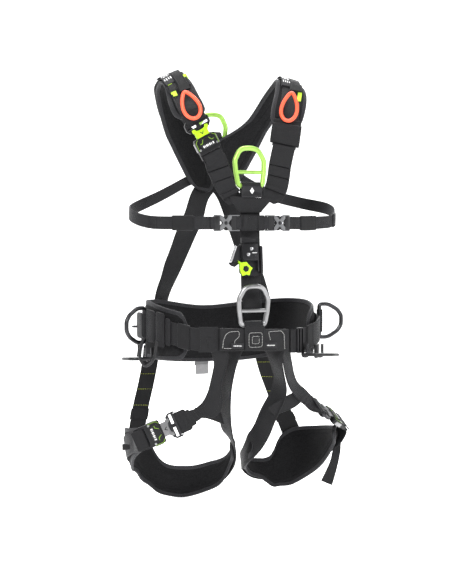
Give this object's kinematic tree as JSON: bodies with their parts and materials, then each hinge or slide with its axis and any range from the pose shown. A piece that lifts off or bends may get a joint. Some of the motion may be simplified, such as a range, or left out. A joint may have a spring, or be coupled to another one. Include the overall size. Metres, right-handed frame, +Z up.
{
  "type": "tree climbing saddle",
  "caption": "Full-body tree climbing harness: padded yoke, chest straps, ring-fitted waist belt and two padded leg loops, with hinged attachment rings.",
  "frame": {"origin": "middle of the wearer's waist at the height of the belt webbing", "axes": "+Z up along the body, the wearer faces -Y, +X is the wearer's left"},
  "size_m": [0.4764, 0.2999, 0.8692],
  "materials": {
    "pad_fabric": "matte",
    "webbing": "matte",
    "panel_fabric": "matte",
    "elastic": "matte",
    "label_grey": "satin",
    "tape_lime": "matte",
    "black_plastic": "satin",
    "grey_plastic": "satin",
    "dark_metal": "satin",
    "lime_metal": "satin",
    "silver_metal": "satin",
    "orange_plastic": "gloss",
    "buckle_black": "satin"
  },
  "bodies": {
    "harness": {"yoke_pad_right": "pad_fabric", "yoke_pad_left": "pad_fabric", "belt_pad": "pad_fabric", "leg_pad_right": "pad_fabric", "leg_pad_left": "pad_fabric", "shoulder_webbing_right": "webbing", "shoulder_webbing_left": "webbing", "front_webbing_right": "webbing", "back_webbing_right": "webbing", "back_webbing_left": "webbing", "side_strap_right": "webbing", "side_strap_left": "webbing", "chest_band": "webbing", "ventral_webbing": "webbing", "belt_webbing": "webbing", "belt_front_panel": "panel_fabric", "leg_webbing_right": "webbing", "leg_webbing_left": "webbing", "leg_front_webbing_right": "webbing", "leg_front_webbing_left": "webbing", "rear_elastic_right": "elastic", "rear_elastic_left": "elastic", "sternal_ring_loop": "webbing", "ventral_ring_loop": "webbing", "dorsal_ring_loop": "webbing", "sternal_junction": "webbing", "belt_loops": "webbing", "accessory_loops": "webbing", "shoulder_keepers": "elastic", "labels": "label_grey", "shoulder_tapes": "tape_lime", "dorsal_plate": "black_plastic", "belt_adjusters": "dark_metal", "shoulder_buckle_housing": "buckle_black", "shoulder_buckle_tongue": "lime_metal", "shoulder_buckle_adjuster": "dark_metal", "leg_buckle_housings": "buckle_black", "leg_buckle_tongues": "dark_metal", "chest_buckle_females": "grey_plastic", "chest_buckle_males": "black_plastic", "ascender_frame": "buckle_black"},
    "sternal_ring_body": {"sternal_ring": "lime_metal"},
    "ventral_ring_body": {"ventral_ring": "silver_metal"},
    "dorsal_ring_body": {"dorsal_ring": "lime_metal"},
    "side_ring_right_body": {"side_ring_right": "dark_metal"},
    "side_ring_left_body": {"side_ring_left": "dark_metal"},
    "tool_loop_right_body": {"tool_loop_right": "orange_plastic"},
    "tool_loop_left_body": {"tool_loop_left": "orange_plastic"},
    "gear_loop_right_body": {"gear_loop_right": "black_plastic"},
    "gear_loop_left_body": {"gear_loop_left": "black_plastic"},
    "ascender_cam_body": {"ascender_cam": "silver_metal"},
    "ascender_catch_body": {"ascender_catch": "lime_metal"},
    "shoulder_buckle_lever_a_body": {"shoulder_buckle_lever_a": "silver_metal"},
    "shoulder_buckle_lever_b_body": {"shoulder_buckle_lever_b": "silver_metal"},
    "leg_buckle_right_lever_a_body": {"leg_buckle_right_lever_a": "silver_metal"},
    "leg_buckle_right_lever_b_body": {"leg_buckle_right_lever_b": "silver_metal"},
    "leg_buckle_left_lever_a_body": {"leg_buckle_left_lever_a": "silver_metal"},
    "leg_buckle_left_lever_b_body": {"leg_buckle_left_lever_b": "silver_metal"},
    "chest_keeper_right_body": {"chest_keeper_right": "elastic"},
    "chest_keeper_left_body": {"chest_keeper_left": "elastic"}
  },
  "joints": [
    {"name": "sternal_ring_fold", "type": "hinge", "parent": "harness", "child": "sternal_ring_body", "pos_m": [0.00067, -0.1035, 0.27966], "axis": [1, 0, 0], "range_deg": [0, 115]},
    {"name": "ventral_ring_fold", "type": "hinge", "parent": "harness", "child": "ventral_ring_body", "pos_m": [-0.00607, -0.1335, 0.01041], "axis": [1, 0, 0], "range_deg": [0, 120]},
    {"name": "dorsal_ring_fold", "type": "hinge", "parent": "harness", "child": "dorsal_ring_body", "pos_m": [0.006, 0.1196, 0.358], "axis": [-1, 0, 0], "range_deg": [0, 150]},
    {"name": "side_ring_right_swing", "type": "hinge", "parent": "harness", "child": "side_ring_right_body", "pos_m": [-0.1875, -0.012, 0.00609], "axis": [0, 0, 1], "range_deg": [-60, 60]},
    {"name": "side_ring_left_swing", "type": "hinge", "parent": "harness", "child": "side_ring_left_body", "pos_m": [0.186, -0.03, 0.00615], "axis": [0, 0, -1], "range_deg": [-60, 60]},
    {"name": "tool_loop_right_swing", "type": "hinge", "parent": "harness", "child": "tool_loop_right_body", "pos_m": [-0.13383, -0.0975, 0.45835], "axis": [-0.8881, 0.2539, -0.3833], "range_deg": [0, 60]},
    {"name": "tool_loop_left_swing", "type": "hinge", "parent": "harness", "child": "tool_loop_left_body", "pos_m": [0.09526, -0.0905, 0.46436], "axis": [-0.8908, 0.433, 0.1381], "range_deg": [0, 60]},
    {"name": "gear_loop_right_lift", "type": "hinge", "parent": "harness", "child": "gear_loop_right_body", "pos_m": [-0.17402, 0.02164, -0.06449], "axis": [0.1167, 0.9886, -0.095], "range_deg": [0, 45]},
    {"name": "gear_loop_left_lift", "type": "hinge", "parent": "harness", "child": "gear_loop_left_body", "pos_m": [0.13514, -0.10615, -0.05595], "axis": [-0.7822, -0.6173, 0.0843], "range_deg": [0, 45]},
    {"name": "ascender_cam_turn", "type": "hinge", "parent": "harness", "child": "ascender_cam_body", "pos_m": [-0.0133, -0.12079, 0.14631], "axis": [0, -0.9976, 0.0698], "range_deg": [-12, 0], "stiffness_Nm_per_rad": 0.02},
    {"name": "ascender_catch_turn", "type": "hinge", "parent": "harness", "child": "ascender_catch_body", "pos_m": [-0.0193, -0.12275, 0.11837], "axis": [0, -0.9976, 0.0698], "range_deg": [0, 30], "stiffness_Nm_per_rad": 0.02},
    {"name": "shoulder_buckle_lever_a_press", "type": "hinge", "parent": "harness", "child": "shoulder_buckle_lever_a_body", "pos_m": [-0.10492, -0.10373, 0.34655], "axis": [-0.055, -0.9984, 0.0147], "range_deg": [-6, 0], "stiffness_Nm_per_rad": 0.05},
    {"name": "shoulder_buckle_lever_b_press", "type": "hinge", "parent": "harness", "child": "shoulder_buckle_lever_b_body", "pos_m": [-0.07133, -0.10532, 0.36425], "axis": [-0.055, -0.9984, 0.0147], "range_deg": [0, 6], "stiffness_Nm_per_rad": 0.05},
    {"name": "leg_buckle_right_lever_a_press", "type": "hinge", "parent": "harness", "child": "leg_buckle_right_lever_a_body", "pos_m": [-0.20331, -0.07916, -0.18451], "axis": [-0.3278, -0.9424, 0.0662], "range_deg": [-6, 0], "stiffness_Nm_per_rad": 0.05},
    {"name": "leg_buckle_right_lever_b_press", "type": "hinge", "parent": "harness", "child": "leg_buckle_right_lever_b_body", "pos_m": [-0.18979, -0.08631, -0.2193], "axis": [-0.3278, -0.9424, 0.0662], "range_deg": [0, 6], "stiffness_Nm_per_rad": 0.05},
    {"name": "leg_buckle_left_lever_a_press", "type": "hinge", "parent": "harness", "child": "leg_buckle_left_lever_a_body", "pos_m": [0.2004, -0.09364, -0.20053], "axis": [0.5955, -0.4038, 0.6945], "range_deg": [-6, 0], "stiffness_Nm_per_rad": 0.05},
    {"name": "leg_buckle_left_lever_b_press", "type": "hinge", "parent": "harness", "child": "leg_buckle_left_lever_b_body", "pos_m": [0.19589, -0.06283, -0.17874], "axis": [0.5955, -0.4038, 0.6945], "range_deg": [0, 6], "stiffness_Nm_per_rad": 0.05},
    {"name": "chest_keeper_right_slide", "type": "slide", "parent": "harness", "child": "chest_keeper_right_body", "axis": [0.9622, -0.2721, -0.009], "range_m": [-0.0025, 0.0025]},
    {"name": "chest_keeper_left_slide", "type": "slide", "parent": "harness", "child": "chest_keeper_left_body", "axis": [-0.9279, -0.3727, -0.0102], "range_m": [-0.005, 0.005]}
  ],
  "couplings": [
    {"joint": "shoulder_buckle_lever_b_press", "follows": "shoulder_buckle_lever_a_press", "ratio": -1},
    {"joint": "leg_buckle_right_lever_b_press", "follows": "leg_buckle_right_lever_a_press", "ratio": -1},
    {"joint": "leg_buckle_left_lever_b_press", "follows": "leg_buckle_left_lever_a_press", "ratio": -1}
  ]
}
